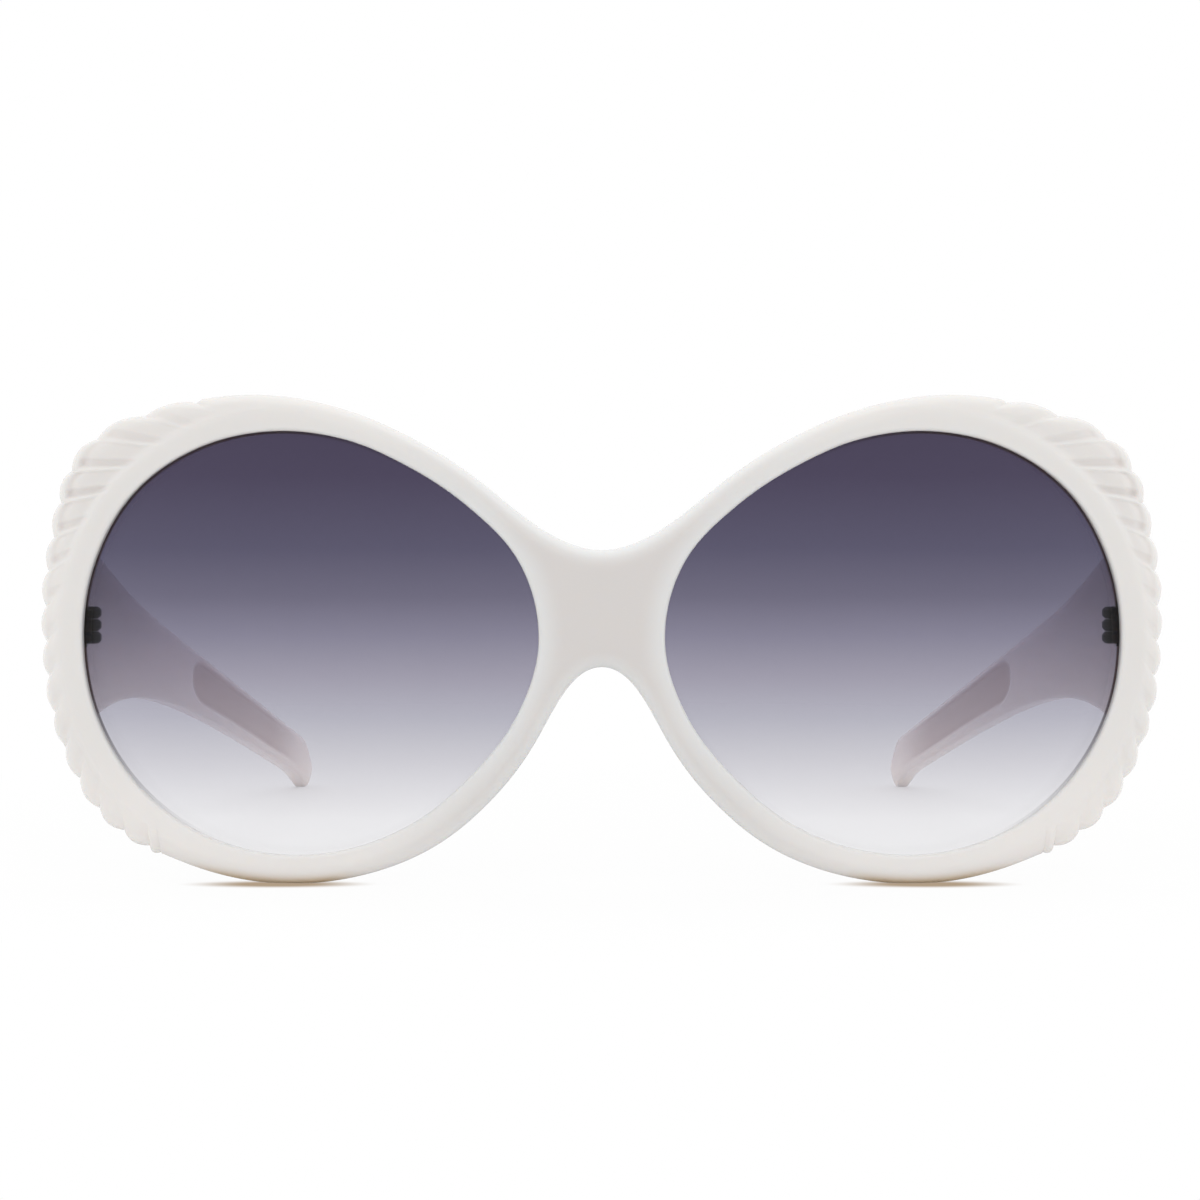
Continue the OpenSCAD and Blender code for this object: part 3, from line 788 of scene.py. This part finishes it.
class Finish:
    """A material, or the world, and the nodes that make it."""

    def __init__(self, name, world=None):
        self.material = world or bpy.data.materials.new(name)
        self.material.use_nodes = True
        self.tree = self.material.node_tree
        self.tree.nodes.clear()
        self.output = self.tree.nodes.new("ShaderNodeOutputWorld" if world else "ShaderNodeOutputMaterial")

    def node(self, kind, settings=None, sockets=None, out=0):
        """A node of this type, with its settings, its sockets' values or links, and the output to use."""
        made = self.tree.nodes.new(kind)
        for key, value in (settings or {}).items():
            if key == "stops":
                ramp = made.color_ramp
                while len(ramp.elements) < len(value):
                    ramp.elements.new(0.5)
                for element, (place, colour) in zip(ramp.elements, value):
                    element.position, element.color = place, colour
            else:
                setattr(made, key, value)
        for key, value in (sockets or {}).items():
            if isinstance(value, Wire):
                self.tree.links.new(value.socket, made.inputs[key])
            else:
                made.inputs[key].default_value = value
        return Wire(self, made.outputs[out])

    def show(self, shader):
        self.tree.links.new(shader.socket, self.output.inputs["Surface"])

    def surface(self, **values):
        """The Principled shader, with its sockets' names written with underscores."""
        sockets = {key.replace("_", " "): value for key, value in values.items()}
        self.show(self.node("ShaderNodeBsdfPrincipled", None, sockets))

    def glow(self, colour, strength):
        return self.node("ShaderNodeEmission", None, {"Color": colour, "Strength": strength})

    def layer(self, factor, low, high):
        """A mix of two shaders."""
        return self.node("ShaderNodeMixShader", None, {0: factor, 1: low, 2: high})

    def blend(self, factor, low, high):
        """A colour between two colours."""
        return self.node("ShaderNodeMix", {"data_type": "RGBA"}, {0: factor, 6: low, 7: high}, out=2)

    def place(self):
        """Where a point lies, seen from its own object."""
        return self.node("ShaderNodeTexCoord", out=3)

    def axis(self, vector, k):
        """The x (0), the y (1) or the z (2) of a vector."""
        return self.node("ShaderNodeSeparateXYZ", None, {0: vector}, out=k)

    def height(self):
        return self.axis(self.place(), 2)

    def length(self, vector):
        return self.node("ShaderNodeVectorMath", {"operation": "LENGTH"}, {0: vector}, out=1)

    def along(self, vector, direction):
        """How much of a vector points in a direction."""
        return self.node("ShaderNodeVectorMath", {"operation": "DOT_PRODUCT"},
                         {0: vector, 1: direction}, out=1)

    def mark(self, name):
        """A number that was kept on the mesh."""
        return self.node("ShaderNodeAttribute", {"attribute_name": name}, out=2)

    def change(self, value, start, end, low, high):
        """Low up to the start and high from the end on, with a soft change between them."""
        return self.node("ShaderNodeMapRange", {"interpolation_type": "SMOOTHSTEP"},
                         {"Value": value, "From Min": start, "From Max": end, "To Min": low, "To Max": high})

    def noise(self, scale, detail=2):
        return self.node("ShaderNodeTexNoise", None,
                         {"Vector": self.place(), "Scale": scale, "Detail": detail})

    def bump(self, height, strength, distance):
        return self.node("ShaderNodeBump", None,
                         {"Strength": strength, "Distance": distance, "Height": height})


# %% [markdown]
# Milky plastic.
# The frame is moulded from a cloudy off-white plastic and tumbled until it shines. Light and shade are also
# painted into its tone by place: painted shade darkens the flat middle of the bridge, and painted light from
# the table pales the low rims and the low parts of the temples. The marks kept on the meshes paint the rest:
# a pale band of painted highlight follows the edges of the bridge, painted shade makes the troughs and
# flutes warmer and darker, painted shade makes the inner sides of the temples rosier and darkens their
# panels, and painted tan shade lies along the lowest edge, where it stands on the table.

# %% Tones of the plastic
dull_milk, bright_milk = (0.825, 0.805, 0.785, 1), (0.865, 0.845, 0.825, 1)
# Painted light from the table pales the low rims, and painted shade darkens the troughs and flutes.
table_lit_milk, shaded_trough_milk = (0.915, 0.885, 0.86, 1), (0.74, 0.675, 0.645, 1)
# A painted highlight pales the edges of the bridge, and painted shade darkens its flat middle.
lit_bridge_edge, shaded_bridge_flat = (0.82, 0.82, 0.815, 1), (0.745, 0.715, 0.697, 1)
# Painted shade gives the inner sides of the temples a rosier tone.
shaded_dull_rose, shaded_bright_rose = (0.835, 0.755, 0.745, 1), (0.875, 0.795, 0.785, 1)
# Painted light from the table pales their low parts, and painted shade darkens their panels.
table_lit_rose, shaded_panel_rose = (0.86, 0.775, 0.745, 1), (0.54, 0.41, 0.395, 1)
# Painted tan shade along the lowest edge of the rims, where they stand on the table.
under_shade_tan = (0.60, 0.425, 0.22, 1)

# %% Milky plastic
plastic = Finish("milky_plastic")
bridge_shading_near, bridge_shading_far, table_light_near, table_light_far = 0.010, 0.036, 0.004, 0.022
trough_shade_strength, panel_shade_strength = 0.45, 0.9
cloud_scale, skin_scale, polish_scale = 38, 900, 160
# The bridge takes painted shade on its flat middle and a painted highlight along its edges.
bridge_shading = plastic.change(abs(plastic.axis(plastic.place(), 0)), bridge_shading_near, bridge_shading_far, 1.0, 0.0)
# Low down, painted light from the table pales the plastic.
table_light_share = plastic.change(plastic.height(), table_light_near, table_light_far, 1.0, 0.0)
clouds = plastic.noise(cloud_scale, 3)
outer = plastic.blend(clouds, dull_milk, bright_milk)
outer = plastic.blend(table_light_share, outer, table_lit_milk)
# Painted highlight on the edges of the bridge, and painted shade on its flat middle away from the pale band.
outer = plastic.blend(bridge_shading, outer, lit_bridge_edge)
outer = plastic.blend(bridge_shading * (1 - plastic.mark("band")), outer, shaded_bridge_flat)
# Painted shade in the troughs of the pleats and in the flutes.
outer = plastic.blend(plastic.mark("relief") * trough_shade_strength, outer, shaded_trough_milk)
# The inner sides of the temples take a rosier painted shade.
inner = plastic.blend(clouds, shaded_dull_rose, shaded_bright_rose)
inner = plastic.blend(table_light_share, inner, table_lit_rose)
# More painted shade in the panel of each temple's inner side.
inner = plastic.blend(plastic.mark("relief") * panel_shade_strength, inner, shaded_panel_rose)
tone = plastic.blend(plastic.mark("inner"), outer, inner)
# Painted tan shade along the lowest edge of the rims.
tone = plastic.blend(plastic.mark("under"), tone, under_shade_tan)
plastic.surface(Base_Color=tone, Normal=plastic.bump(plastic.noise(skin_scale), 0.06, 0.0002),
                Roughness=plastic.noise(polish_scale) * 0.08 + 0.17, Subsurface_Weight=0.35,
                Subsurface_Radius=(1.0, 0.85, 0.7), Subsurface_Scale=0.0018, IOR=1.49,
                Coat_Weight=0.2, Coat_Roughness=0.06)
print("nodes in the milky plastic:", len(plastic.tree.nodes))

# %% [markdown]
# Graduated lenses.
# The tint is dipped: dark violet grey at the top and nearly clear at the bottom. Dye holds back green most
# and blue least, so the ramp turns from violet to neutral as it clears. The Principled shader takes this
# colour for the light that passes through, and keeps the glossy skin of the lens the same all over.

# %% Lens finish
tint = Finish("graduated_tint")
lens_low, lens_high = 0.0, 0.064
dye_stops = [
    (0.0, (0.98, 0.985, 0.99, 1)), (0.14, (0.885, 0.885, 0.91, 1)), (0.27, (0.625, 0.618, 0.672, 1)),
    (0.35, (0.47, 0.465, 0.536, 1)), (0.435, (0.351, 0.336, 0.414, 1)), (0.52, (0.238, 0.226, 0.306, 1)),
    (0.60, (0.151, 0.141, 0.206, 1)), (0.70, (0.096, 0.088, 0.146, 1)), (0.85, (0.064, 0.052, 0.098, 1)),
    (1.0, (0.056, 0.044, 0.084, 1))]
painted_groove_shade, drift_scale, haze_scale = (0.012, 0.006, 0.006, 1), 60, 200
share = (tint.height() - lens_low) / (lens_high - lens_low) + tint.noise(drift_scale) * 0.01
dye = tint.node("ShaderNodeValToRGB", {"stops": dye_stops}, {0: share})
# Painted shade: a thin dark line along the rim stands for the shadowed groove round the lens edge.
dye = tint.blend(tint.mark("line"), dye, painted_groove_shade)
tint.surface(Base_Color=dye, Roughness=tint.noise(haze_scale) * 0.01, IOR=1.5, Transmission_Weight=1.0)
print("stops in the tint:", len(dye_stops))

# %% [markdown]
# Dark hinge metal.
# The hinges are small pressed parts with a dark plating that is brushed along the leaves and a bit polished
# at the edges by handling.

# %% Hinge and screw metal
wear_scale, brush_scale = 700, 2600
hinge_dark, hinge_worn = (0.014, 0.012, 0.013, 1), (0.045, 0.042, 0.044, 1)
screw_dark, screw_worn = (0.03, 0.03, 0.032, 1), (0.09, 0.088, 0.088, 1)


def plated(name, low, high, roughness):
    metal = Finish(name)
    wear = metal.noise(wear_scale, 3)
    brushed = metal.bump(metal.noise(brush_scale), 0.12, 0.0001)
    metal.surface(Base_Color=metal.blend(wear, low, high), Metallic=0.85, Normal=brushed,
                  Roughness=wear * 0.2 + roughness)
    return metal.material


hinge_metal = plated("dark_plated_hinge", hinge_dark, hinge_worn, 0.38)
screw_metal = plated("dark_plated_screw", screw_dark, screw_worn, 0.26)

# %% [markdown]
# Give each piece its finish.
# New meshes take a material slot, and the CAD hinges and screws keep their shape and only change material.

# %% Assign the finishes
for piece in [front_piece] + temple_pieces:
    piece.data.materials.clear()
    piece.data.materials.append(plastic.material)
for piece in lens_pieces:
    piece.data.materials.append(tint.material)
for node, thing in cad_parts.items():
    if "hinge" in node:
        metal = screw_metal if "screw" in node else hinge_metal
        for s in thing.material_slots:
            s.material = metal
        print(node, "->", metal.name)

# %% [markdown]
# Floor and background.
# The photo studio is a white sweep: floor and background read as one white, with only a soft shadow where
# the glasses touch the table. Far from the object the floor turns into the same plain white as the world.

# %% Floor
floor_half = 6
floor_shape = bmesh.new()
bmesh.ops.create_grid(floor_shape, x_segments=1, y_segments=1, size=floor_half)
floor_mesh = bpy.data.meshes.new("floor")
floor_shape.to_mesh(floor_mesh)
floor_shape.free()
floor = bpy.data.objects.new("floor", floor_mesh)
bpy.context.scene.collection.objects.link(floor)
print("floor side, m:", 2 * floor_half)
front_from, front_to = 0.1, 0.95


def ray_kinds(finish):
    """1 or 0 for each kind of ray: from the camera, through a lens, and by a mirror."""
    return [finish.node("ShaderNodeLightPath", out=k) for k in (0, 6, 3)]


def in_front(finish, direction):
    """1 straight in front of the glasses and 0 beside and behind them."""
    return finish.change(finish.along(direction, (0, -1, 0)), front_from, front_to, 0.0, 1.0)


sweep = Finish("white_sweep")
where = sweep.place()
camera_seen, lens_seen, mirrored = ray_kinds(sweep)

# %% [markdown]
# The contact shadow.
# A rim of cloudy plastic lets warm light down to the table, so the thin shadow under it is tan. It is drawn
# here and not traced: a flat oval under the foot of each rim, placed in the floor's own coordinates, in
# metres. One oval serves both rims, because the distance from the middle plane has no sign.

# %% Contact shadow
foot_x, foot_y, foot_long, foot_wide, foot_core = 0.0428, -0.0689, 0.0138, 0.0046, 0.3
from_foot = sweep.node("ShaderNodeCombineXYZ", None,
                       {0: (abs(sweep.axis(where, 0)) - foot_x) / foot_long,
                        1: (sweep.axis(where, 1) - foot_y) / foot_wide})
oval = sweep.length(from_foot)
shade = sweep.change(oval, foot_core, 1.0, 1.0, 0.0)
print("contact ovals, m:", foot_long, "by", foot_wide)

# %% [markdown]
# Mixing the floor.
# The floor is a mix of a matt surface, which takes the real shadow, and plain white, which keeps the table as
# bright as the background. Seen through a lens the matt part has a bigger share, but close to the feet the
# floor is plain white. A shiny face mirrors a floor that is dimmer in front, like the world's light. The tan
# ovals are seen by the camera alone.

# %% Mix the floor
table_matt, shadow_tan, plain_white = (0.88, 0.875, 0.87, 1), (0.44, 0.335, 0.235, 1), (1, 1, 1, 1)
full_glow, floor_dim, foot_clear, foot_fade = 1.04, 0.64, 2.2, 6.0
# Each of these is where the white starts to grow, where it is whole, and its share before that.
direct_white, filtered_white = (0.08, 0.14, 0.95), (0.09, 0.30, 0.5)
away = sweep.length(where)
matt = sweep.node("ShaderNodeBsdfDiffuse", None, {"Color": table_matt})
direct = camera_seen * sweep.change(away, *direct_white, 1.0)
filtered = lens_seen * sweep.change(away, *filtered_white, 1.0)
near_foot = lens_seen * sweep.change(oval, foot_clear, foot_fade, 1.0, 0.0)
white_share = direct.or_more(filtered.or_more(near_foot))
bright = sweep.layer(white_share, matt, sweep.glow(plain_white, 1.0))
heading = sweep.node("ShaderNodeVectorMath", {"operation": "NORMALIZE"}, {0: where})
dim = sweep.glow(plain_white, full_glow - in_front(sweep, heading) * floor_dim)
reflected = sweep.layer(mirrored * (1 - lens_seen), bright, dim)
sweep.show(sweep.layer(shade * camera_seen, reflected, sweep.glow(shadow_tan, 1.0)))
floor.data.materials.append(sweep.material)
print("nodes in the floor:", len(sweep.tree.nodes))

# %% [markdown]
# World and lamp.
# The world is plain white to the camera. As a light it is a big soft tent: bright at the sides and above,
# and dimmer in front, where the camera stands. So the edges of the rims catch more light than their faces,
# and the lenses mirror no lamp. What a shiny face mirrors is dimmed more than what lights a matt one.

# %% World
bpy.context.scene.world = bpy.data.worlds.new("studio")
tent = Finish("studio", bpy.context.scene.world)
front_dim, front_mirror_dim, above_dim, above_mirror_dim = 0.05, 0.59, 0.17, 0.23
above_from, above_to = 0.3, 0.9
facing = tent.node("ShaderNodeTexCoord", out=0)
camera_kind, lens_kind, mirror_kind = ray_kinds(tent)
above = tent.change(tent.along(facing, (0, 0, 1)), above_from, above_to, 0.0, 1.0)
light = full_glow - in_front(tent, facing) * (mirror_kind * front_mirror_dim + front_dim)
light = light - above * (mirror_kind * above_mirror_dim + above_dim)
soft = tent.node("ShaderNodeBackground", None, {"Color": plain_white, "Strength": light})
white = tent.node("ShaderNodeBackground", None, {"Color": plain_white, "Strength": 1.0})
tent.show(tent.layer(camera_kind.or_more(lens_kind), soft, white))
print("nodes in the world:", len(tent.tree.nodes))

# %% [markdown]
# The softbox.
# One big square lamp hangs overhead, as in a table-top studio, and adds the soft shadow on the table. A lamp
# far larger than the glasses leaves no hard edge.

# %% Softbox
softbox = bpy.data.lights.new("top_softbox", "AREA")
softbox.shape, softbox.size, softbox.energy = "SQUARE", 1.2, 2.0
lamp = bpy.data.objects.new("top_softbox", softbox)
bpy.context.scene.collection.objects.link(lamp)
lamp.location = (0, 0.1, 0.9)
bpy.context.scene.view_settings.view_transform = "Standard"
print("softbox side, m:", softbox.size)
